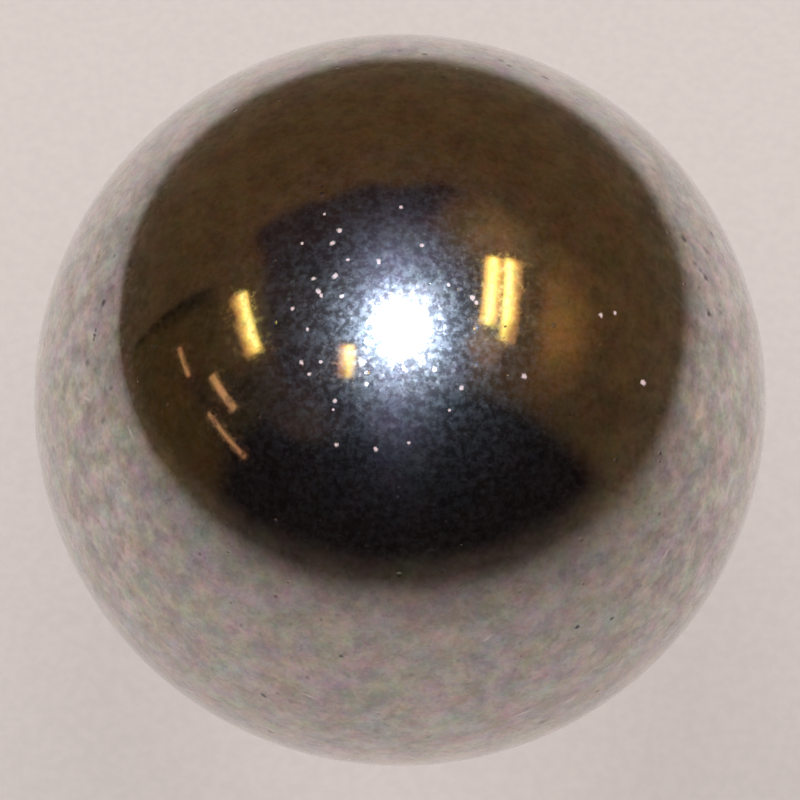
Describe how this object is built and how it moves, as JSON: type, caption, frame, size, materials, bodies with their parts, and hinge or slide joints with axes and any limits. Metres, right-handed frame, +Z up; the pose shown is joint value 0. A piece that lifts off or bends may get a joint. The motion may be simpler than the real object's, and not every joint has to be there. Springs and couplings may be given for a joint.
{
  "type": "steel ball",
  "caption": "Solid polished steel ball: a true sphere with a mirror finish, for bearings, detents, weights and desk use.",
  "frame": {"origin": "centre of the ball", "axes": "+Z up through the ball's top, -Z down through the point on which it is held; every axis through the centre is an axis of symmetry"},
  "size_m": [0.0254, 0.0254, 0.0254],
  "materials": {
    "polished_steel": "polished"
  },
  "bodies": {
    "root": {"ball": "polished_steel"}
  },
  "joints": []
}
